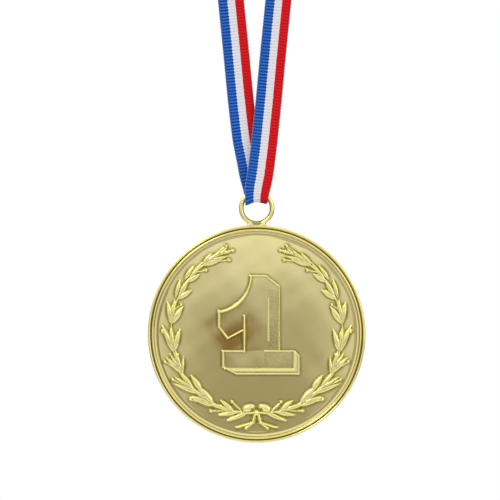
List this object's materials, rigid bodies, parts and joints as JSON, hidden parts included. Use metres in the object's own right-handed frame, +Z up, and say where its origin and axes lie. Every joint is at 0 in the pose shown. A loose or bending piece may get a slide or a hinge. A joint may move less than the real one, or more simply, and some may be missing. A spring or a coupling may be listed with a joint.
{
  "type": "medal",
  "caption": "Round gold-coloured winner's medal with a raised numeral and wreath, on a striped neck ribbon threaded through its hanging loop.",
  "frame": {"origin": "inside of the ribbon's top arch, where the ribbon rests on the neck or on a peg", "axes": "+Z up, against gravity; the medal's face looks along -Y; +X is to the right as a viewer sees the face"},
  "size_m": [0.07, 0.0084, 0.3571],
  "materials": {
    "case_gold": "vacuum-metallised pale gold, mirror gloss",
    "plate_gold": "vacuum-metallised pale gold, mirror gloss with a faint moulded waviness",
    "ribbon_weave": "ribbed grosgrain in three equal stripes, blue, white and red",
    "stitch_thread": "white polyester sewing thread"
  },
  "bodies": {
    "neck_ribbon": {"ribbon": "ribbon_weave", "ribbon_stitching": "stitch_thread"},
    "medal": {"back_case": "case_gold", "front_plate": "plate_gold"}
  },
  "joints": [
    {"name": "medal_swing", "type": "hinge", "parent": "neck_ribbon", "child": "medal", "pos_m": [0, 0, -0.2786], "axis": [1, 0, 0], "range_deg": [-80, 80], "deforming": ["ribbon"]}
  ]
}
